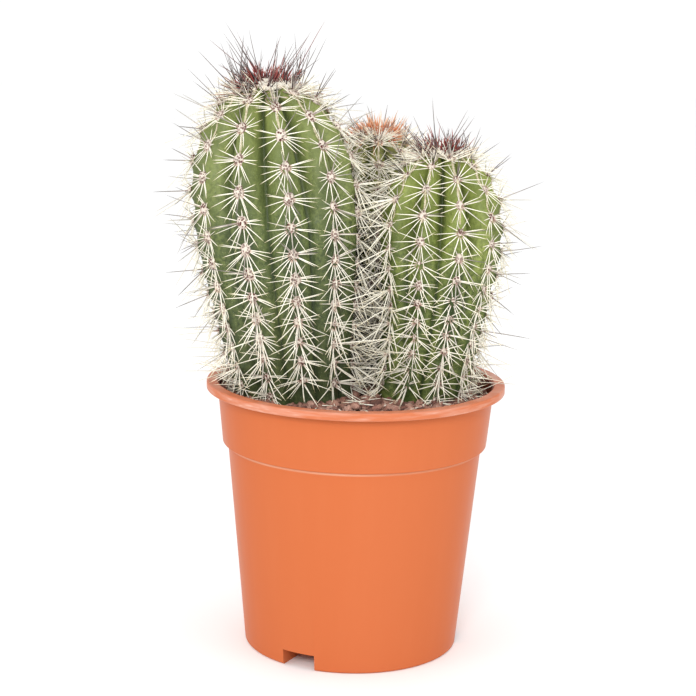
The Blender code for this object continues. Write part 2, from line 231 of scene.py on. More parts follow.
@dataclass(frozen=True)
class Walk:
    """Steps down a crest: distance from the top, height, radius and outward normal."""

    stem: Stem
    distance: np.ndarray
    along: np.ndarray
    radius: np.ndarray
    normal: np.ndarray

    def frames(self, steps, bearing):
        """Crest points, with the directions out of the skin, down the crest and across it."""
        along, radius, normal = self.along[steps], self.radius[steps], self.normal[steps]
        bearing = np.full(len(steps), bearing)
        level = np.stack([np.sin(bearing), -np.cos(bearing)], -1)
        out = np.concatenate([level * normal[:, :1], normal[:, 1:]], -1)
        down = np.concatenate([level * normal[:, 1:], -normal[:, :1]], -1)
        turns = self.stem.turns(along)
        out, down = (np.einsum("nij,nj->ni", turns, ways) for ways in (out, down))
        point = self.stem.place(along, radius, bearing, np.zeros_like(radius))
        return point, out, down, np.cross(out, down)


LEFT = Stem(
    name="left", seed=1, ribs=11, rings=210, crest_bearing=radians(12.2),
    foot=(-0.0345, -0.0060), foot_lean=(-0.125, 0.0), top_lean=(-0.090, 0.0),
    height=0.1765, widest_at=0.1185, foot_radius=0.0325, widest_radius=0.0460,
    swell=1.4, dome=1.8, root=0.024, crown_radius=0.0140, top_depth=0.20,
    foot_pitch=0.0113, top_pitch=0.0176, close_share=0.289, young_pitch=0.81,
    first_shift=0.915, row_shift=0.467, cushion_size=1.30,
    radials=(10, 13), radial_size=1.0, foot_size=1.36, centrals=3, young_size=1.0,
)
RIGHT = Stem(
    name="right", seed=2, ribs=10, rings=170, crest_bearing=radians(15.4),
    foot=(0.0362, -0.0020), foot_lean=(0.175, 0.0), top_lean=(-0.045, 0.0),
    height=0.1405, widest_at=0.0945, foot_radius=0.0262, widest_radius=0.0342,
    swell=4.0, dome=2.0, root=0.020, crown_radius=0.0100, top_depth=0.42,
    foot_pitch=0.0092, top_pitch=0.0148, close_share=0.29, young_pitch=0.84,
    first_shift=0.190, row_shift=0.489, cushion_size=0.95,
    radials=(9, 11), radial_size=1.08, foot_size=1.04, centrals=2, young_size=0.56,
    crown_long=0.70,
)
BACK = Stem(
    name="back", seed=3, ribs=10, rings=150, crest_bearing=radians(5.0),
    foot=(0.0070, 0.0490), foot_lean=(0.0, 0.05), top_lean=(0.02, 0.05),
    height=0.1465, widest_at=0.1005, foot_radius=0.0235, widest_radius=0.0295,
    swell=2.0, dome=2.6, root=0.020, crown_radius=0.0130, top_depth=0.22,
    foot_pitch=0.0110, top_pitch=0.0145, close_share=0.25, young_pitch=0.75,
    first_shift=0.3, row_shift=0.45, cushion_size=1.0,
    radials=(2, 20), radial_size=1.2, foot_size=1.0, centrals=2, young_size=0.50,
    foot_age_and_shade=0.62, crown_size=0.88, crown_long=0.16,
)
STEMS = (LEFT, RIGHT, BACK)


# ---- Materials ----

# A skin's painted shade at the foot, and its dark, middle and light greens
SKINS = {
    "left": (0.66, (0.028, 0.047, 0.017), (0.088, 0.119, 0.038), (0.285, 0.332, 0.100)),
    "right": (0.10, (0.025, 0.046, 0.010), (0.077, 0.110, 0.022), (0.370, 0.430, 0.110)),
    "back": (1.0, (0.034, 0.048, 0.018), (0.130, 0.152, 0.045), (0.340, 0.350, 0.105)),
}
# Painted shade: the dark green at the bottoms of the grooves
GROOVE_SHADE_GREEN = (0.030, 0.048, 0.018)
# Painted shade: the dark green towards the foot of a stem
FOOT_SHADE_GREEN = (0.034, 0.046, 0.020)
DOT_GREEN = (0.32, 0.36, 0.22)

# Colours of needles, from foot to tip
OLD_NEEDLE = (
    (0.0, (0.40, 0.22, 0.17)), (0.05, (0.66, 0.50, 0.41)), (0.13, (0.95, 0.91, 0.80)),
    (0.72, (0.95, 0.90, 0.75)), (0.92, (0.88, 0.74, 0.46)),
)
# Partly the needles' own grey, partly painted shade: dark enough that standing needles read as
# shadowed
GREY_AND_SHADED_NEEDLE = (
    (0.0, (0.26, 0.12, 0.09)), (0.16, (0.42, 0.36, 0.32)), (0.55, (0.23, 0.20, 0.18)),
    (0.95, (0.05, 0.04, 0.037)),
)
YOUNG_NEEDLE = (
    (0.0, (0.13, 0.025, 0.022)), (0.14, (0.030, 0.015, 0.015)), (0.36, (0.040, 0.026, 0.025)),
    (0.55, (0.17, 0.14, 0.13)), (0.95, (0.09, 0.07, 0.065)),
)
RED_NEEDLE = (
    (0.0, (0.22, 0.035, 0.030)), (0.25, (0.070, 0.008, 0.010)), (0.55, (0.26, 0.032, 0.030)),
    (1.0, (0.42, 0.11, 0.075)),
)
ORANGE_NEEDLE = (
    (0.0, (0.36, 0.06, 0.025)), (0.35, (0.66, 0.20, 0.080)), (0.65, (0.86, 0.46, 0.26)),
    (1.0, (0.86, 0.68, 0.52)),
)

GRIT_TONES = ((0.10, 0.045, 0.035), (0.26, 0.11, 0.08), (0.42, 0.22, 0.16), (0.55, 0.33, 0.26))
PEBBLE_TONES = ((0.20, 0.08, 0.06), (0.40, 0.19, 0.14), (0.52, 0.30, 0.23))
SOIL_TONES = ((0.020, 0.012, 0.008), (0.060, 0.032, 0.020), (0.16, 0.085, 0.055))


class Paint:
    """A Principled material with short calls for the nodes that drive it."""

    def __init__(self, name, roughness, specular=0.5):
        self.material = bpy.data.materials.new(name)
        self.material.use_nodes = True
        self.tree = self.material.node_tree
        self.shader = self.tree.nodes["Principled BSDF"]
        self.shader.inputs["Roughness"].default_value = roughness
        self.shader.inputs["Specular IOR Level"].default_value = specular

    def node(self, kind, settings=(), **links):
        """A node with its settings, and its sockets' values and links."""
        node = self.tree.nodes.new("ShaderNode" + kind)
        for key, value in dict(settings).items():
            setattr(node, key, value)
        for socket, value in links.items():
            self.feed(node.inputs[socket], value)
        return node

    def feed(self, socket, value):
        if isinstance(value, bpy.types.NodeSocket):
            self.tree.links.new(value, socket)
        elif socket.type == "RGBA":
            socket.default_value = (*value, 1)
        else:
            socket.default_value = value

    def place(self, rise=1.0):
        """Object coordinates. A rise under 1 stretches a pattern upwards."""
        place = self.node("TexCoord").outputs["Object"]
        return self.node("Mapping", Vector=place, Scale=(1.0, 1.0, rise)).outputs["Vector"]

    def attribute(self, name):
        return self.node("Attribute", {"attribute_name": name}).outputs["Fac"]

    def noise(self, scale, detail=4.0, roughness=0.55, rise=1.0):
        links = {"Scale": scale, "Detail": detail, "Roughness": roughness}
        return self.node("TexNoise", Vector=self.place(rise), **links).outputs["Fac"]

    def cells(self, scale, output="Distance"):
        return self.node("TexVoronoi", Vector=self.place(), Scale=scale).outputs[output]

    def ramp(self, value, *stops):
        """A colour ramp: each stop is a place and a colour or a grey."""
        node = self.node("ValToRGB", Fac=value)
        elements = node.color_ramp.elements
        while len(elements) < len(stops):
            elements.new(1.0)
        for element, (place, colour) in zip(elements, stops):
            element.position = place
            element.color = (*(colour if isinstance(colour, tuple) else (colour,) * 3), 1)
        return node.outputs["Color"]

    def mix(self, share, low, high):
        node = self.node("Mix", {"data_type": "RGBA"}, Factor=share)
        self.feed(node.inputs[6], low)
        self.feed(node.inputs[7], high)
        return node.outputs[2]

    def over(self, base, colour, value, *stops):
        """The base with a colour over it, by a ramp of the value."""
        return self.mix(self.ramp(value, *stops), base, colour)

    def maths(self, operation, *values):
        node = self.node("Math", {"operation": operation})
        for socket, value in zip(node.inputs, values):
            self.feed(socket, value)
        return node.outputs["Value"]

    def product(self, first, second):
        return self.maths("MULTIPLY", first, second)

    def finished(self, colour, height=None, distance=0.0, strength=1.0):
        self.feed(self.shader.inputs["Base Color"], colour)
        if height:
            bump = self.node("Bump", Height=height, Distance=distance, Strength=strength)
            self.feed(self.shader.inputs["Normal"], bump.outputs["Normal"])
        return self.material


def flesh_paint(stem, shade, dark, middle, light):
    """Waxy skin, mottled along the ribs, with painted shade in the grooves and at the foot."""
    paint = Paint(f"{stem.name}_flesh_skin", 0.46, 0.27)
    groove = paint.attribute("groove")
    height = paint.attribute("height")
    streaks = paint.noise(80.0, 6.0, 0.62, rise=0.30)
    patches = paint.noise(34.0, 5.0, 0.62, rise=0.55)
    fine = paint.noise(480.0, 4.0, 0.65)
    base = paint.over(dark, middle, streaks, (0.36, 0.0), (0.60, 1.0))
    base = paint.over(base, light, patches, (0.48, 0.0), (0.66, 0.60))
    base = paint.over(base, light, groove, (0.30, 0.0), (0.62, 0.34), (0.84, 0.20), (0.95, 0.0))
    base = paint.over(base, dark, fine, (0.36, 0.75), (0.60, 0.0))
    # Painted shade: a thin dark line along the bottom of each groove
    base = paint.over(base, GROOVE_SHADE_GREEN, groove, (0.93, 0.0), (1.0, 0.75))
    # Partly the skin's own mottling, partly painted light: paler patches towards the top, where
    # light falls on the dome
    top_mottle_and_light = paint.product(paint.ramp(height, (0.50, 0.0), (0.90, 1.0)), patches)
    base = paint.mix(top_mottle_and_light, base, light)
    # Painted shade: darker valleys between the ribs towards the top
    valley_shade = paint.ramp(groove, (0.62, 0.0), (0.98, 0.85))
    top_groove_shade = paint.product(valley_shade, paint.ramp(height, (0.55, 0.0), (0.85, 1.0)))
    base = paint.mix(top_groove_shade, base, GROOVE_SHADE_GREEN)
    # Painted shade: darker towards the foot, by the skin's shade at the foot
    base = paint.over(base, FOOT_SHADE_GREEN, height, (0.05, shade), (0.55, 0.0))
    base = paint.over(base, DOT_GREEN, paint.cells(800.0), (0.10, 0.5), (0.18, 0.0))
    return paint.finished(base, paint.mix(0.4, fine, streaks), 0.0005, 0.7)


def needle_paint(name, *kinds):
    """Needles coloured by their map, which runs up to the tip and across the kinds."""
    paint = Paint(name, 0.5)
    spot = paint.node("UVMap", {"uv_map": "OFBake"}).outputs["UV"]
    parts = paint.node("SeparateXYZ", Vector=spot).outputs
    colour = paint.ramp(parts["Y"], *kinds[0])
    for number, stops in enumerate(kinds[1:], start=1):
        place = number / (len(kinds) - 1)
        share = paint.ramp(parts["X"], (place - 0.28, 0.0), (place - 0.02, 1.0))
        colour = paint.mix(share, colour, paint.ramp(parts["Y"], *stops))
    return paint.finished(colour)


def felt_paint(name, light, dark):
    """Matted felt with dark dots, fainter in patches."""
    paint = Paint(name, 0.95)
    dots = paint.ramp(paint.cells(720.0), (0.38, 1.0), (0.54, 0.0))
    old = paint.ramp(paint.noise(60.0, 2.0), (0.38, 0.60), (0.60, 1.0))
    colour = paint.mix(paint.product(dots, old), light, dark)
    return paint.finished(colour, paint.noise(2600.0, 3.0), 0.0005)


def plastic_paint():
    """Moulded plastic: paler on the lip from wear and painted sheen, with a painted highlight along
    the step and painted shade on the inner wall.
    """
    paint = Paint("pot_plastic_moulded", 0.30, 0.04)
    clouds = paint.noise(9.0, 3.0, rise=0.25)
    flow = paint.noise(160.0, 2.0, rise=0.06)
    rings = paint.noise(45.0, 3.0, rise=9.0)
    orange, paler = (0.508, 0.128, 0.043), (0.524, 0.138, 0.050)
    colour = paint.over(orange, paler, clouds, (0.35, 0.0), (0.65, 1.0))
    colour = paint.over(colour, (0.55, 0.155, 0.060), flow, (0.45, 0.0), (0.75, 0.12))
    # Partly wear, partly painted sheen and highlights: a paler lip with pale streaks round it
    lip = paint.attribute("lip")
    lip_wear_and_sheen = paint.product(lip, paint.ramp(rings, (0.40, 0.16), (0.62, 0.78)))
    colour = paint.mix(lip_wear_and_sheen, colour, (0.60, 0.29, 0.205))
    lip_streaks_and_highlights = paint.product(lip, paint.ramp(rings, (0.60, 0.0), (0.68, 0.5)))
    colour = paint.mix(lip_streaks_and_highlights, colour, (0.70, 0.43, 0.34))
    # Painted highlight: a pale, patchy line along the step under the collar
    height = paint.node("SeparateXYZ", Vector=paint.place()).outputs["Z"]
    off = paint.maths("ABSOLUTE", paint.maths("SUBTRACT", height, STEP_HEIGHT))
    step_highlight = paint.ramp(paint.product(off, 700.0), (0.25, 1.0), (0.80, 0.0))
    step_highlight_fade = paint.ramp(paint.noise(14.0, 2.0), (0.42, 0.50), (0.58, 1.0))
    colour = paint.mix(paint.product(step_highlight, step_highlight_fade), colour, (0.66, 0.33, 0.21))
    # Painted shade: the inner wall darkened to a red-brown
    colour = paint.mix(paint.attribute("shaded_inside"), colour, (0.16, 0.040, 0.020))
    scuffs = paint.ramp(paint.noise(40.0, 3.0, rise=0.5), (0.35, 0.30), (0.7, 0.36))
    paint.feed(paint.shader.inputs["Roughness"], scuffs)
    return paint.finished(colour, clouds, 0.0010, 0.2)


def stone_paint(name, tones):
    """Porous lava in blocks of one tone or another, with dark grains."""
    paint = Paint(name, 0.88)
    grain = paint.noise(1400.0)
    blocks = paint.cells(230.0, "Color")
    block = paint.node("SeparateColor", Color=blocks).outputs["Red"]
    colour = paint.ramp(block, *zip(np.linspace(0, 1, len(tones)), tones))
    colour = paint.over(colour, tones[0], grain, (0.35, 0.5), (0.6, 0.0))
    return paint.finished(colour, grain, 0.0005)


def soil_paint(name):
    paint = Paint(name, 0.95)
    crumbs = paint.noise(500.0, 5.0, 0.7)
    colour = paint.ramp(crumbs, *zip((0.35, 0.55, 0.7), SOIL_TONES))
    return paint.finished(colour, crumbs, 0.002)


def floor_paint():
    paint = Paint("pale_floor", 0.9)
    pale, paler = (0.95, 0.95, 0.95), (0.965, 0.965, 0.965)
    return paint.finished(paint.mix(paint.noise(6.0, 2.0), pale, paler))


# ---- Meshes ----


def unit(vectors):
    return vectors / np.linalg.norm(vectors, axis=-1, keepdims=True)


def new_object(name, data, material=None):
    made = bpy.data.objects.new(name, data)
    bpy.context.scene.collection.objects.link(made)
    if material:
        data.materials.append(material)
    return made


def mesh_from(shape, name):
    mesh = bpy.data.meshes.new(name)
    shape.to_mesh(mesh)
    shape.free()
    return mesh


def finished(made, slot, *nodes):
    """A piece fixed to the body, with the CAD nodes that it replaces, which are hidden; its slot is
    not used.
    """
    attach(made, ROOT)
    if nodes:
        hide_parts(*nodes)
    return made


def piece(mesh, material, slot, *nodes):
    return finished(new_object(mesh.name, mesh, material), slot, *nodes)


def mesh_of(name, points, faces, sizes):
    """A smooth mesh. The faces' corners follow one another, and each face has a size."""
    mesh = bpy.data.meshes.new(name)
    mesh.vertices.add(len(points))
    mesh.vertices.foreach_set("co", points.astype(np.float32).ravel())
    mesh.loops.add(len(faces))
    mesh.loops.foreach_set("vertex_index", faces.astype(np.int32))
    mesh.polygons.add(len(sizes))
    starts = np.concatenate([[0], np.cumsum(sizes)[:-1]])
    mesh.polygons.foreach_set("loop_start", starts.astype(np.int32))
    mesh.update(calc_edges=True)
    mesh.shade_smooth()
    return mesh


def tube_quads(rings, count):
    """The faces of a tube, from rings of count points that follow one another."""
    ring, step = np.meshgrid(np.arange(rings - 1), np.arange(count), indexing="ij")
    low, after = ring * count, (step + 1) % count
    quads = [low + step, low + after, low + count + after, low + count + step]
    return np.stack(quads, -1).reshape(-1, 4)


def write_attribute(mesh, name, values):
    attribute = mesh.attributes.new(name, "FLOAT", "POINT")
    attribute.data.foreach_set("value", values.astype(np.float32).ravel())


def cushion_steps(stem, rib):
    """The steps of a stem's walk where a rib has its cushions."""
    walk = stem.walk()
    distance, along = walk.distance, walk.along
    rise = (along / stem.height - stem.close_share) / (EVEN_SHARE - stem.close_share)
    pitch = stem.foot_pitch + (stem.top_pitch - stem.foot_pitch) * np.clip(rise, 0, 1)
    age = np.minimum(distance / (YOUNG_REACH * stem.top_pitch), 1)
    pitch *= stem.young_pitch + (1 - stem.young_pitch) * age
    live = (distance >= stem.crown_radius + CUSHION_LENGTH) & (along > LOWEST_CUSHION)
    pitches = np.cumsum(np.diff(distance, prepend=0.0) / pitch * live)
    pitches -= (stem.first_shift + stem.row_shift * rib) % 1
    return np.flatnonzero(live & (np.diff(np.floor(pitches), prepend=-1.0) > 0))


def swelling_at(stem, rib, distance):
    """How far a crest swells for its cushions, at distances down it: 1 under one."""
    seats = stem.walk().distance[cushion_steps(stem, rib)]
    down = distance[:, None] - seats[None] - SWELLING_DROP
    return np.exp(-((down / SWELLING_LENGTH) ** 2)).sum(1)


def lowness(stem, along):
    """1 at the foot, falling to 0 not quite half way up."""
    return 1 - np.clip(along / (0.45 * stem.height), 0, 1)


def dome_share(stem, along):
    """0 up to the widest part, or a little below it, and 1 at the top."""
    low = stem.widest_at * 0.85
    return np.clip((along - low) / (stem.height - low), 0, 1)


def crest_lift(stem, swelling, along, radius):
    """How far a crest stands out from the smooth form, most at the dome's cushions."""
    swing = CREST_SWING + DOME_SWING * np.sqrt(dome_share(stem, along))
    return (swing * (swelling - 1) + CREST_RISE) * np.clip(radius / stem.foot_radius, 0, 1)


def stem_points(stem, walk, phase, aside):
    """The skin's points, with crests, sharp grooves, swellings and lumps."""
    along, radius, normal = walk.along, walk.radius, walk.normal
    rings, count = len(along), len(phase)
    dome = np.sqrt(dome_share(stem, along))
    foot = np.clip(1 - along / (0.3 * stem.height), 0, 1)
    groove = 1 - np.abs(np.cos(aside * pi))[None] ** (0.5 + 0.6 * dome)[:, None]
    depth = radius * (0.14 + stem.top_depth * dome + 0.05 * foot)
    sideways = aside[None] * tau / stem.ribs * radius[:, None]
    across = np.exp(-((sideways / SWELLING_WIDTH) ** 2))
    rib = np.round(phase).astype(int) % stem.ribs
    ribs = range(stem.ribs)
    swelling = np.stack([swelling_at(stem, number, walk.distance) for number in ribs], 1)
    along, radius = along[:, None], radius[:, None]
    lift = crest_lift(stem, swelling[:, rib] * across, along, radius) - depth[:, None] * groove
    points = stem.place(
        np.repeat(along, count, 1),
        np.maximum(radius + lift * normal[:, :1], 0),
        np.repeat(stem.crest_bearing + phase[None] * tau / stem.ribs, rings, 0),
        lift * normal[:, 1:] * np.clip(radius / 0.004, 0, 1),
    ).reshape(-1, 3)
    outwards = unit(points - stem.axis(np.repeat(along, count)) + [0.0, 0.0, TINY])
    lumps = np.array([noise.noise(Vector(point) * 60) for point in points])
    return points + outwards * lumps[:, None] * LUMP_RISE


def stem_faces(rings, count):
    """The faces' corners and sizes. The first and last rings are single points."""
    sides = tube_quads(rings - 2, count)[:, [0, 3, 2, 1]] + count
    here = np.arange(count)
    after = (here + 1) % count
    last = (rings - 2) * count
    top = np.stack([np.zeros(count, int), count + here, count + after], -1)
    bottom = np.stack([np.full(count, last + count), last + after, last + here], -1)
    corners = np.concatenate([sides.ravel(), top.ravel(), bottom.ravel()])
    return corners, np.repeat([4, 3], [len(sides), 2 * count])


def make_stem(stem, material):
    walk = stem.walk(stem.rings)
    rings, count = stem.rings + 1, MERIDIANS_A_RIB * stem.ribs
    phase = np.arange(count) / MERIDIANS_A_RIB
    aside = phase - np.round(phase)
    points = stem_points(stem, walk, phase, aside)
    corners, sizes = stem_faces(rings, count)
    used, corners = np.unique(corners, return_inverse=True)
    name = f"{stem.name}_flesh"
    mesh = mesh_of(name, points[used], corners, sizes)
    write_attribute(mesh, "groove", np.tile(np.abs(aside) * 2, rings)[used])
    write_attribute(mesh, "height", (np.repeat(walk.along, count) / stem.height)[used])
    return piece(mesh, material, name, f"{stem.name}_stem")


def needle_points(starts, ways, lengths, widths, bends):
    helper = np.where(np.abs(ways[:, 2:]) < 0.9, [[0.0, 0.0, 1.0]], [[1.0, 0.0, 0.0]])
    first = unit(np.cross(ways, helper))[:, None]
    second = np.cross(ways, first[:, 0])[:, None]
    turn = (np.arange(NEEDLE_SIDES) * tau / NEEDLE_SIDES)[None, :, None]
    rim = first * np.cos(turn) + second * np.sin(turn)
    share = np.array(NEEDLE_SHARES)
    straight = starts[:, None] + ways[:, None] * (lengths[:, None] * share)[..., None]
    middles = straight + bends[:, None] * (share**2)[None, :, None]
    girth = widths[:, None] / 2 * np.array(NEEDLE_WIDTHS)[None]
    body = middles[:, :, None] + rim[:, None] * girth[..., None, None]
    tips = starts + ways * lengths[:, None] + bends
    return np.concatenate([body.reshape(len(starts), -1, 3), tips[:, None]], 1)


def needle_faces():
    """The corners of one needle's faces, and the faces' sizes."""
    sides, rings = NEEDLE_SIDES, len(NEEDLE_SHARES)
    side = np.arange(sides)
    last = (rings - 1) * sides
    point = np.stack([last + side, last + (side + 1) % sides, np.full(sides, last + sides)], -1)
    corners = np.concatenate([tube_quads(rings, sides).ravel(), point.ravel(), side[::-1]])
    return corners, np.repeat([4, 3, sides], [last, sides, 1])


def write_needle_map(mesh, ages, faces):
    """The map that colours needles: along each one, in the column of its age."""
    rings = len(NEEDLE_SHARES)
    along = np.append(np.repeat(NEEDLE_SHARES, NEEDLE_SIDES), 1.0)
    column = (np.clip(ages, 0, 0.999) * AGES).astype(int)
    spread = np.append(np.tile(np.arange(NEEDLE_SIDES), rings) / (NEEDLE_SIDES - 1), 0.5)
    across = (column[:, None] + 0.15 + 0.7 * spread[None]) / AGES
    up = np.repeat(along[None] * 0.98 + 0.01, len(ages), 0)
    places = np.stack([across, up], -1).reshape(-1, 2)
    uv = mesh.uv_layers.new(name="OFBake")
    uv.uv.foreach_set("vector", places[faces].astype(np.float32).ravel())


def needle_mesh(name, starts, ways, lengths, widths, bends, ages):
    count = len(starts)
    points = needle_points(starts, ways, lengths, widths, bends)
    corners, sizes = needle_faces()
    faces = (corners[None] + np.arange(count)[:, None] * points.shape[1]).ravel()
    mesh = mesh_of(name, points.reshape(-1, 3), faces, np.tile(sizes, count))
    write_needle_map(mesh, ages, faces)
    return mesh


def obstacles(stem, starts, ways, lengths):
    """The way out of what each needle meets, and whether it meets the grit or the lip."""
    push = np.zeros_like(ways)
    grounded = np.zeros(len(ways), bool)
    for share in (0.35, 0.6, 0.8, 1.0):
        points = starts + ways * (lengths * share)[:, None]
        along = np.clip(points[:, 2] - GRIT_TOP, 0, None)
        for other in STEMS:
            least = -0.0010 if other is stem else 0.0006
            near = other.clearance(points) < least
            away = points - other.axis(np.minimum(along, other.height)) + [0, 0, TINY]
            push[near] += unit(away)[near]
        reach = np.hypot(points[:, 0], points[:, 1])
        low = points[:, 2] < GRIT_TOP + 0.0006
        low |= (reach > COLLAR_TOP_RADIUS - 0.004) & (points[:, 2] < POT_HEIGHT + 0.0008)
        push[low] += [0, 0, 1]
        grounded |= low
    return push, grounded


def clear_ways(stem, starts, ways, lengths):
    """Turns needles away from what they meet, and shortens those that stay blocked."""
    ways, lengths = ways.copy(), lengths.copy()
    for attempt in range(TURNS + SHORTENINGS):
        push, grounded = obstacles(stem, starts, ways, lengths)
        blocked = np.abs(push).sum(1) > 0
        shorter = blocked & (attempt >= np.where(grounded, GROUND_TURNS, TURNS))
        turning = blocked & ~shorter
        ways[turning] = unit(ways[turning] + 0.22 * unit(push[turning]))
        lengths[shorter] *= 0.8
    return ways, lengths


class Needles(list):
    def add(self, place, way, length, width, bend, kind):
        self.append((place, unit(way), length, width, bend, kind))

    def columns(self, stem):
        """The needles as columns of what add takes, turned clear of what they meet."""
        starts, ways, lengths, *others = (np.array(column) for column in zip(*self))
        return starts, *clear_ways(stem, starts, ways, lengths), *others


class Cushion:
    """A spine cushion: its directions, and how low, young and sheltered it is."""

    def __init__(self, stem, point, out, down, across, low, young):
        self.out, self.down, self.across = out, down, across
        self.seat = point + out * 0.0012
        self.low, self.young = low, young
        self.shelter = 0.0
        if stem is not BACK:
            others = [other for other in STEMS if other is not stem]
            spot = point + out * 0.011
            gap = min(float(other.clearance(spot)) for other in others)
            self.shelter = min(max(1 - gap / SHELTER_GAP, 0.0), 1.0)

    def flat(self, swing):
        """The direction over the skin at an angle from down."""
        return self.down * cos(swing) + self.across * sin(swing)


@dataclass(frozen=True)
class Spray:
    """The bounds of needles that stand out from a cushion all round."""

    leans: tuple  # in degrees, from straight out
    swing: float  # to each side of down
    lengths: tuple
    bow: float
    width: float
    widths: tuple  # shares of the width
    kinds: tuple


YOUNG_SPRAY = Spray((15, 65), pi, (0.008, 0.0165), 0.05, 0.00058, (0.8, 1.2), (0.10, 0.72))
GAP_SPRAY = Spray((20, 80), 0.58 * pi, (0.016, 0.030), 0.04, 0.00072, (0.85, 1.2), (0.0, 0.14))

# A crown's needles: count, reach in crown radii, lengths, spread, kind and width. The last are
# the long ones.
CROWN_NEEDLES = (
    (130, (0.0, 0.88), (0.0030, 0.0120), 0.50, 0.55, 0.00074),
    (110, (0.0, 1.15), (0.0045, 0.0150), 0.80, 0.84, 0.00072),
    (130, (0.8, 1.75), (0.0060, 0.0150), 1.25, 0.30, 0.00058),
    (34, (0.1, 1.25), (0.0170, 0.0350), 0.65, 1.0, 0.00056),
)


def radial_needles(needles, stem, cushion, draw):
    """A fan of needles over the skin, with short ones that point up."""
    low = cushion.low
    foot_count, top_count = stem.radials
    fan = round(top_count + (foot_count - top_count) * low) + int(draw.integers(-1, 2))
    fan = round(fan * (1 - 0.90 * cushion.shelter))
    size = stem.radial_size * (1 + (stem.foot_size - 1) * low)
    for index in range(fan + 2):
        if index < fan:
            side = (index + 0.5) / fan * 2 - 1
            turn = copysign(abs(side) ** 0.8, side) * FAN_REACH
            turn += draw.normal(0, 0.11 + 0.22 * low)
        else:
            turn = pi + (index - fan - 0.5) * 0.9 + draw.normal(0, 0.15)
        sideways, downwards = sin(turn), cos(turn)
        upwards = max(-downwards, 0)
        length = RADIAL_LENGTH + 0.0010 * max(downwards, 0) - 0.0068 * upwards
        length *= size * draw.uniform(0.78 - 0.22 * low, 1.18 + 0.16 * low)
        stand = draw.uniform(10, 26 + 20 * low) + 8 * low + 18 * cushion.young + 12 * upwards
        flat = cushion.down * downwards + cushion.across * sideways
        way = flat * cos(radians(stand)) + cushion.out * sin(radians(stand))
        bow = cushion.out * draw.normal(0.02, 0.05) + cushion.across * draw.normal(0, 0.03)
        # Partly age, partly painted shade: greyer needles towards the foot, by the stem's setting
        kind = draw.uniform(0.0, 0.24) + 0.20 * upwards + stem.foot_age_and_shade * low
        width = (RADIAL_WIDTH + 0.00007 * low) * draw.uniform(0.85, 1.25)
        foot = (cushion.down * downwards * 1.3 + cushion.across * sideways) * FAN_FOOT
        foot = cushion.seat + foot * stem.cushion_size * (1 - 0.3 * low)
        needles.add(foot - cushion.out * 0.0006, way, length, width, bow * length, kind)


def spray_needles(needles, spray, cushion, draw, count, size=1.0):
    """Needles that stand out from a cushion at random, within a spray's bounds."""
    for _ in range(count):
        lean, swing = radians(draw.uniform(*spray.leans)), draw.uniform(-spray.swing, spray.swing)
        way = cushion.out * cos(lean) + cushion.flat(swing) * sin(lean)
        length = draw.uniform(*spray.lengths) * size
        bend = draw.normal(0, spray.bow, 3) * length
        width = spray.width * draw.uniform(*spray.widths)
        needles.add(cushion.seat, way, length, width, bend, draw.uniform(*spray.kinds))


def central_needles(needles, stem, cushion, draw):
    """Needles that stand well out, dark near the crown and pale lower down."""
    low, young = cushion.low, cushion.young
    count = stem.centrals + int(draw.uniform() < 0.4)
    for index in range(round(count * (1 - 0.6 * cushion.shelter))):
        if young > 0.3:
            lean, swing, kind = draw.uniform(2, 48), draw.uniform(1.2, 5.1), draw.uniform(0.80, 1.0)
        elif index == 0:
            lean, swing, kind = draw.uniform(35, 72), draw.normal(0, 0.35), draw.uniform(0.10, 0.45)
        else:
            lean, swing, kind = draw.uniform(5, 60), draw.uniform(-pi, pi), draw.uniform(0.30, 0.64)
            kind -= 0.24 * low
        flat = cushion.flat(swing)
        way = cushion.out * cos(radians(lean)) + flat * sin(radians(lean))
        length = (CENTRAL_LENGTH + 0.0070 * low) * (1 - young)
        length = (length + YOUNG_LENGTH * stem.young_size * young) * draw.uniform(0.72, 1.25)
        bow = flat * draw.normal(0.0, 0.04) + cushion.out * draw.normal(0, 0.02)
        width = (CENTRAL_WIDTH - 0.00006 * young) * draw.uniform(0.85, 1.15)
        foot = cushion.seat + flat * 0.0008 * stem.cushion_size
        needles.add(foot, way, length, width, bow * length, kind)


def rib_needles(stem, rib, draw):
    walk = stem.walk()
    steps = cushion_steps(stem, rib)
    lows = lowness(stem, walk.along[steps])
    youngs = np.clip(1 - (walk.distance[steps] - stem.crown_radius) / YOUNG_SPAN, 0, 1)
    frames = walk.frames(steps, stem.rib_bearing(rib))
    needles = Needles()
    for place in zip(*frames, lows, youngs):
        cushion = Cushion(stem, *place)
        shelter = cushion.shelter
        radial_needles(needles, stem, cushion, draw)
        young_count = round(YOUNG_NEEDLES * stem.young_size * cushion.young)
        spray_needles(needles, YOUNG_SPRAY, cushion, draw, young_count, stem.radial_size)
        gap_count = round(GAP_NEEDLES * 4 * shelter * (1 - shelter))
        spray_needles(needles, GAP_SPRAY, cushion, draw, gap_count)
        central_needles(needles, stem, cushion, draw)
    return needles.columns(stem)


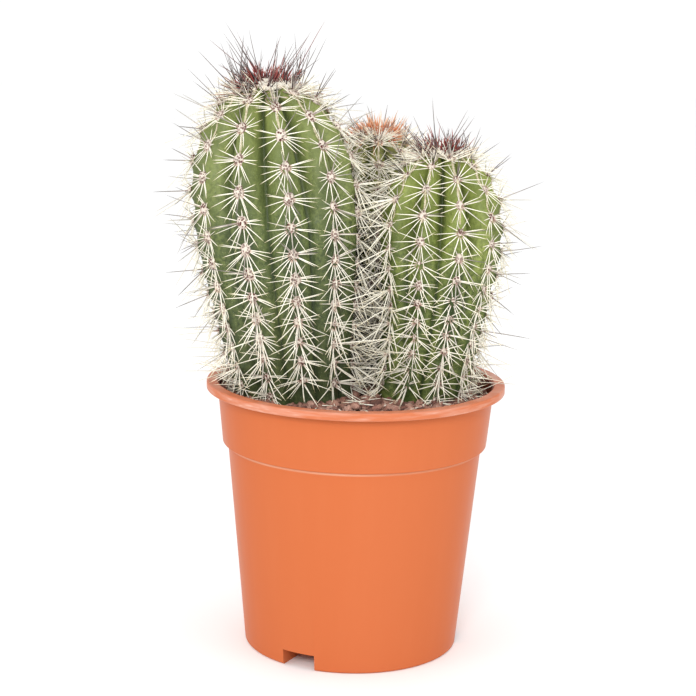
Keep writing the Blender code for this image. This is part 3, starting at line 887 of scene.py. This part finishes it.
def crown_needles(stem, draw):
    """Tufts of short needles on the top, and long ones that fan out."""
    walk = stem.walk()
    up = stem.turns(np.array([stem.height]))[0] @ np.array([0.0, 0.0, 1.0])
    needles = Needles()
    crowded = (stem.crown_radius / LEFT.crown_radius) ** 1.5
    tilts = draw.normal(0, 0.24, (CROWN_TUFTS, 3))
    heights = draw.uniform(0.70, 1.30, CROWN_TUFTS)
    for share, batch in zip((1, 1, 1, stem.crown_long), CROWN_NEEDLES):
        count, (near, far), lengths, spread, kind, width = batch
        for _ in range(int(count * share * crowded)):
            reach = stem.crown_radius * sqrt(draw.uniform(near**2, far**2))
            bearing = draw.uniform(0, tau)
            tuft = int(bearing / (tau) * CROWN_TUFTS)
            frames = walk.frames([np.searchsorted(walk.distance, reach)], bearing)
            point, out, down, _ = (vectors[0] for vectors in frames)
            lean = down * spread * reach / stem.crown_radius
            way = up + lean + tilts[tuft] + draw.normal(0, 0.17, 3)
            length = stem.crown_size * draw.uniform(*lengths) * heights[tuft]
            bend = draw.normal(0, 0.04, 3) * length
            tone = np.clip(kind + draw.uniform(-0.14, 0.14), 0, 1)
            girth = width * draw.uniform(0.8, 1.2)
            needles.add(point - out * 0.0004, way, length, girth, bend, tone)
    return needles.columns(stem)


def make_needles(part, columns, material, slot):
    """A row's or a crown's needles, in place of its CAD spines."""
    return piece(needle_mesh(f"{part}_needles", *columns), material, slot, f"{part}_spines")


def unit_blob():
    shape = bmesh.new()
    bmesh.ops.create_icosphere(shape, subdivisions=2, radius=1)
    shape.verts.ensure_lookup_table()
    points = np.array([vert.co for vert in shape.verts])
    faces = np.array([[vert.index for vert in face.verts] for face in shape.faces])
    shape.free()
    return points, faces


def blobs_mesh(name, centres, axes, sizes, draw, rough):
    """Lumpy blobs, each with a centre, three axes and a size along each."""
    points, faces = unit_blob()
    count = len(centres)
    shifts = draw.uniform(-50, 50, (count, 3))
    rows = []
    for number in range(count):
        lumps = np.array([noise.noise(Vector(point * 1.7 + shifts[number])) for point in points])
        local = points * (1 + rough * lumps)[:, None] * sizes[number]
        rows.append(centres[number] + local @ axes[number])
    all_faces = (faces[None] + np.arange(count)[:, None, None] * len(points)).reshape(-1)
    return mesh_of(name, np.concatenate(rows), all_faces, np.full(count * len(faces), 3))


def make_felt(stem, material, draw):
    """Felt in each spine cushion, less of it towards the foot."""
    spots = []
    for rib in range(stem.ribs):
        steps = cushion_steps(stem, rib)
        sizes = stem.cushion_size * (1 - 0.35 * lowness(stem, stem.walk().along[steps]))
        spots.append((steps, sizes, np.full(len(steps), 0.0004)))
    return felt_lumps(f"{stem.name}_felt", stem, spots, material, draw)


def make_crest_felt(stem, material, draw):
    """A thin line of new felt along the crests near the crown."""
    walk = stem.walk()
    new = np.arange(stem.crown_radius * 0.5, stem.crown_radius + 0.045, 0.0010)
    steps = np.searchsorted(walk.distance, new)
    spots = []
    for rib in range(stem.ribs):
        swelling = swelling_at(stem, rib, walk.distance)
        lift = crest_lift(stem, swelling, walk.along, walk.radius)[steps]
        spots.append((steps, 0.50 - 0.26 * new / new[-1], lift + 0.0001))
    return felt_lumps(f"{stem.name}_crest_felt", stem, spots, material, draw)


def felt_lumps(name, stem, spots, material, draw):
    """Lumps of felt, from the steps, sizes and rises of each rib's spots."""
    walk = stem.walk()
    centres, axes, sizes = [], [], []
    for rib, (steps, size, rise) in enumerate(spots):
        point, out, down, across = walk.frames(steps, stem.rib_bearing(rib))
        centres.append(point + out * rise[:, None])
        axes.append(np.stack([across, down, out], 1))
        uneven = draw.uniform(0.85, 1.15, (len(steps), 1))
        sizes.append(np.array(FELT_SIZES) * size[:, None] * uneven)
    parts = (np.concatenate(part) for part in (centres, axes, sizes))
    mesh = blobs_mesh(name, *parts, draw, 0.45)
    return piece(mesh, material, "spine_cream")


def make_crown_wool(stem, material, draw):
    walk = stem.walk()
    count = int(110 * (stem.crown_radius / 0.011) ** 2)
    reach = stem.crown_radius * 1.1 * np.sqrt(draw.uniform(0.0, 1.0, count))
    steps = np.searchsorted(walk.distance, reach)
    points, outs, downs, acrosses = walk.frames(steps, draw.uniform(0, tau, count))
    axes = np.stack([acrosses, downs, outs], 1)
    sizes = np.array(WOOL_SIZES) * draw.uniform(0.7, 1.3, (count, 1))
    mesh = blobs_mesh(f"{stem.name}_crown_wool", points, axes, sizes, draw, 0.5)
    return piece(mesh, material, f"{stem.name}_crown")


# ---- Pot and filling ----


def collar_radius(height):
    share = (height - COLLAR_FOOT_HEIGHT) / (POT_HEIGHT - LIP_DROP - COLLAR_FOOT_HEIGHT)
    return COLLAR_FOOT_RADIUS + share * (COLLAR_TOP_RADIUS - COLLAR_FOOT_RADIUS)


def rounded(profile):
    """The points of a profile of places and radii, with an arc at each corner."""
    corners = [Vector(place[:2]) for place in profile]
    made = []
    for number, (corner, (_, _, radius)) in enumerate(zip(corners, profile)):
        if not radius:
            made.append(corner)
            continue
        back = (corners[number - 1] - corner).normalized()
        on = (corners[number + 1] - corner).normalized()
        reach = radius / np.tan(back.angle(on) / 2)
        start, end = corner + back * reach, corner + on * reach
        for step in range(CORNER_STEPS + 1):
            share = step / CORNER_STEPS
            bulge = 2 * share * (1 - share) * corner
            made.append((1 - share) ** 2 * start + bulge + share**2 * end)
    return made


def turned(name, profile, material=None):
    points = rounded(profile)
    mesh = bpy.data.meshes.new(name)
    edges = [(start, start + 1) for start in range(len(points) - 1)]
    mesh.from_pydata([(point.x, 0, point.y) for point in points], edges, [])
    made = new_object(name, mesh, material)
    screw = made.modifiers.new("turn", "SCREW")
    screw.angle = tau
    screw.steps = screw.render_steps = 160
    screw.use_merge_vertices = True
    screw.merge_threshold = 0.00001
    return made


def cutters(name, make, places, **sizes):
    """A shape to cut with at each place."""
    made = []
    for number, place in enumerate(places):
        shape = bmesh.new()
        make(shape, matrix=place, **sizes)
        made.append(new_object(f"{name}_{number}", mesh_from(shape, name)))
    return made


def channel_blocks(name, grow):
    """A block for each drainage channel, larger by grow all round."""
    low, high = -0.002, CHANNEL_HEIGHT + grow
    inner, outer = CHANNEL_INNER_RADIUS - grow, BASE_RADIUS + 0.010
    size = Vector((CHANNEL_WIDTH + 2 * grow, outer - inner, high - low))
    front = Matrix.LocRotScale((0, -(inner + outer) / 2, (low + high) / 2), None, size)
    places = [Matrix.Rotation(bearing, 4, "Z") @ front for bearing in CHANNEL_BEARINGS]
    return cutters(name, bmesh.ops.create_cube, places, size=1)


def drain_bores():
    places = []
    for bearing in CHANNEL_BEARINGS:
        place = Vector((sin(bearing), -cos(bearing), 0)) * DRAIN_PLACE_RADIUS
        place.z = CHANNEL_HEIGHT + WALL / 2
        places.append(Matrix.Translation(place))
    sizes = {"radius1": DRAIN_RADIUS, "radius2": DRAIN_RADIUS, "depth": 8 * WALL}
    return cutters("drain_bore", bmesh.ops.create_cone, places, cap_ends=True, segments=32, **sizes)


def cut(target, *tools):
    for tool in tools:
        modifier = target.modifiers.new(tool.name, "BOOLEAN")
        modifier.operation = "DIFFERENCE"
        modifier.object = tool


def applied(target):
    bpy.context.view_layer.update()
    found = target.evaluated_get(bpy.context.evaluated_depsgraph_get())
    mesh = bpy.data.meshes.new_from_object(found)
    target.modifiers.clear()
    target.data = mesh
    return target


def pot_outside(material):
    lip_foot = POT_HEIGHT - LIP_DROP
    lip_ceiling = POT_HEIGHT - WALL
    profile = [
        (0, POT_HEIGHT, 0),
        (RIM_RADIUS, POT_HEIGHT, 0.0011),
        (RIM_RADIUS, lip_foot, 0.0005),
        (RIM_RADIUS - WALL, lip_foot, 0.0004),
        (RIM_RADIUS - WALL, lip_ceiling, 0.0004),
        (collar_radius(lip_ceiling), lip_ceiling, 0.0006),
        (COLLAR_FOOT_RADIUS, COLLAR_FOOT_HEIGHT, 0.0006),
        (STEP_RADIUS, STEP_HEIGHT, 0.0006),
        (BASE_RADIUS, FOOT_CHAMFER, 0.0004),
        (BASE_RADIUS - FOOT_CHAMFER, 0, 0.0002),
        (0, 0, 0),
    ]
    return turned("moulded_pot", profile, material)


def pot_cavity():
    rim = COLLAR_TOP_RADIUS + 0.0002
    throat = POT_HEIGHT - 0.0016
    foot_radius = BASE_RADIUS + WALL / STEP_HEIGHT * (STEP_RADIUS - BASE_RADIUS)
    profile = [
        (0, POT_HEIGHT + WALL, 0),
        (rim + 0.0012, POT_HEIGHT + WALL, 0),
        (rim + 0.0002, POT_HEIGHT - 0.0003, 0.0006),
        (collar_radius(throat) - WALL, throat, 0.0006),
        (COLLAR_FOOT_RADIUS - WALL, COLLAR_FOOT_HEIGHT, 0.0004),
        (STEP_RADIUS - WALL, STEP_HEIGHT, 0.0004),
        (foot_radius - WALL, WALL, 0.0008),
        (0, WALL, 0),
    ]
    return turned("pot_cavity", profile)


def mark_pot(mesh):
    """Marks for the paint the lip, paler from wear and painted sheen, and the inner wall, darkened
    as painted shade.
    """
    heights = np.array([vert.co.z for vert in mesh.vertices])
    away = np.array([vert.co.xy.length for vert in mesh.vertices])
    walls = np.where(heights > COLLAR_FOOT_HEIGHT, collar_radius(heights), STEP_RADIUS)
    lip = (away > COLLAR_TOP_RADIUS + 0.003) | (heights > POT_HEIGHT - 0.0002)
    lip &= heights > POT_HEIGHT - LIP_DROP - 0.0005
    # Painted shade: the inner wall between the step and the lip
    shaded_inside = (heights > STEP_HEIGHT) & (heights < POT_HEIGHT - 0.0013)
    shaded_inside &= away < walls - WALL * 0.6
    write_attribute(mesh, "lip", lip)
    write_attribute(mesh, "shaded_inside", shaded_inside)


def make_pot(material):
    pot = pot_outside(material)
    cavity = pot_cavity()
    cores = channel_blocks("channel_core", WALL)
    channels = channel_blocks("channel", 0.0)
    bores = drain_bores()
    cut(cavity, *cores)
    cut(pot, cavity, *channels, *bores)
    applied(pot)
    for tool in (*cores, cavity, *channels, *bores):
        bpy.data.objects.remove(tool)
    pot.data.shade_smooth()
    pot.data.set_sharp_from_angle(angle=radians(32))
    mark_pot(pot.data)
    return finished(pot, "pot_plastic", "pot")


def ground_spots(draw, count, margin):
    """Places on the grit that no stem covers."""
    found = []
    while len(found) < count:
        away = GRIT_RADIUS * sqrt(draw.uniform(0, 1)) * 0.985
        bearing = draw.uniform(0, tau)
        spot = np.array([away * sin(bearing), -away * cos(bearing), GRIT_TOP])
        if min(stem.clearance(spot) for stem in STEMS) > margin:
            found.append(spot)
    return np.array(found)


def random_axes(draw, count):
    first = unit(draw.normal(0, 1, (count, 3)))
    second = unit(np.cross(first, draw.normal(0, 1, (count, 3))))
    return np.stack([first, second, np.cross(first, second)], 1)


def make_grit(material, draw):
    spots = ground_spots(draw, GRIT_STONES, -0.001)
    across = draw.uniform(*GRIT_SIZES, GRIT_STONES)
    spots[:, 2] += across * draw.uniform(0.0, 0.75, GRIT_STONES)
    sizes = across[:, None] * draw.uniform(0.7, 1.15, (GRIT_STONES, 3))
    axes = random_axes(draw, GRIT_STONES)
    mesh = blobs_mesh("grit_stones", spots, axes, sizes, draw, 0.75)
    return piece(mesh, material, "grit")


def make_pebble(node, material):
    """The CAD stone's form with finer faces, facets and pits."""
    name = node.replace("pebble", "stone")
    shape = bmesh.new()
    shape.from_mesh(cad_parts[node].data)
    bmesh.ops.remove_doubles(shape, verts=shape.verts, dist=0.00001)
    bmesh.ops.subdivide_edges(shape, edges=shape.edges, cuts=2, use_grid_fill=True)
    centre = sum((vert.co for vert in shape.verts), Vector()) / len(shape.verts)
    for vert in shape.verts:
        facets = noise.noise(vert.co * 380) * 0.16
        pits = noise.noise(vert.co * 1500) * 0.05
        vert.co = centre + (vert.co - centre) * (1 + facets + pits)
    mesh = mesh_from(shape, name)
    mesh.shade_smooth()
    return piece(mesh, material, "pebble_stone", node)


def make_fallen_needles(material, draw):
    """Old needles on the grit, shorter where they would reach the wall."""
    count = FALLEN_NEEDLES
    starts = ground_spots(draw, count, 0.002)
    starts[:, 2] += draw.uniform(0.0022, 0.0040, count)
    bearing = draw.uniform(0, tau, count)
    ways = unit(np.stack([np.sin(bearing), np.cos(bearing), draw.uniform(-0.1, 0.12, count)], -1))
    lengths = draw.uniform(0.007, 0.015, count)
    away = np.hypot(*(starts + ways * lengths[:, None])[:, :2].T)
    lengths[away > GRIT_RADIUS - 0.001] *= 0.3
    bends = draw.normal(0, 0.04, (count, 3)) * lengths[:, None] * [1, 1, 0.2]
    widths = np.full(count, 0.0007)
    kinds = draw.uniform(0, 0.3, count)
    mesh = needle_mesh("fallen_needles", starts, ways, lengths, widths, bends, kinds)
    return piece(mesh, material, "spine_cream")


# ---- Stage ----


def make_camera():
    data = bpy.data.cameras.new("camera")
    data.lens = 92.72
    data.clip_start = 0.05
    pitch, yaw, roll = radians(11.234), radians(-0.278), radians(1.259)
    ahead = Vector((sin(yaw) * cos(pitch), cos(yaw) * cos(pitch), -sin(pitch)))
    right = Vector((cos(yaw), -sin(yaw), 0))
    up = right.cross(ahead)
    across, upwards = right * cos(roll) + up * sin(roll), up * cos(roll) - right * sin(roll)
    camera = new_object("camera", data)
    camera.matrix_world = Matrix((across, upwards, -ahead)).transposed().to_4x4()
    camera.location = (0.0, -1.0011, 0.3708)
    bpy.context.scene.camera = camera


def make_light(name, place, size, power):
    data = bpy.data.lights.new(name, "AREA")
    data.shape = "RECTANGLE"
    data.size = data.size_y = size
    data.energy = power
    light = new_object(name, data)
    light.location = place
    middle = Vector((0, 0, 0.18))
    light.rotation_euler = (middle - light.location).to_track_quat("-Z", "Y").to_euler()


def make_floor():
    shape = bmesh.new()
    bmesh.ops.create_grid(shape, x_segments=1, y_segments=1, size=6.0)
    floor = new_object("floor", mesh_from(shape, "floor"), floor_paint())
    floor.location.z = -0.0002


def make_stage():
    make_floor()
    world = bpy.data.worlds.new("studio")
    world.use_nodes = True
    bpy.context.scene.world = world
    backdrop = world.node_tree.nodes["Background"]
    backdrop.inputs["Color"].default_value = (1, 1, 1, 1)
    backdrop.inputs["Strength"].default_value = 1.05
    make_light("front_light", (-0.14, -1.42, 0.85), 0.4, 10.9)
    make_light("left_light", (-1.25, -0.75, 0.60), 0.6, 2.6)
    make_light("right_light", (1.25, -0.75, 0.60), 0.6, 2.6)
    bpy.context.scene.view_settings.view_transform = "Standard"


def make_plants(cream):
    dark = needle_paint("needle_crown", OLD_NEEDLE, RED_NEEDLE, YOUNG_NEEDLE)
    orange_kinds = (OLD_NEEDLE, ORANGE_NEEDLE, ORANGE_NEEDLE, GREY_AND_SHADED_NEEDLE)
    orange = needle_paint("needle_crown_orange", *orange_kinds)
    felt = felt_paint("cushion_felt", (0.76, 0.67, 0.58), (0.10, 0.020, 0.013))
    line_felt = felt_paint("crest_felt", (0.66, 0.60, 0.42), (0.50, 0.42, 0.27))
    wool = felt_paint("crown_felt", (0.88, 0.83, 0.72), (0.70, 0.58, 0.46))
    for stem in STEMS:
        draw = np.random.default_rng(stem.seed)
        make_stem(stem, flesh_paint(stem, *SKINS[stem.name]))
        make_felt(stem, felt, draw)
        make_crest_felt(stem, line_felt, draw)
        make_crown_wool(stem, wool, draw)
        crown = f"{stem.name}_crown"
        make_needles(crown, crown_needles(stem, draw), orange if stem is BACK else dark, crown)
        for rib in range(stem.ribs):
            row = f"{stem.name}_rib_{rib + 1:02d}"
            make_needles(row, rib_needles(stem, rib, draw), cream, "spine_cream")


def make_ground(cream):
    draw = np.random.default_rng(9)
    make_grit(stone_paint("lava_grit", GRIT_TONES), draw)
    make_fallen_needles(cream, draw)
    pebble = stone_paint("lava_pebble", PEBBLE_TONES)
    for node in sorted(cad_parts):
        if node.startswith("pebble_"):
            make_pebble(node, pebble)
    for node, name in (("soil", "potting_soil"), ("grit_bed", "grit_dust")):
        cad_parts[node].material_slots[0].material = soil_paint(name)


def build():
    make_camera()
    make_stage()
    make_pot(plastic_paint())
    cream = needle_paint("needle_cream", OLD_NEEDLE, GREY_AND_SHADED_NEEDLE, YOUNG_NEEDLE)
    make_plants(cream)
    make_ground(cream)


build()
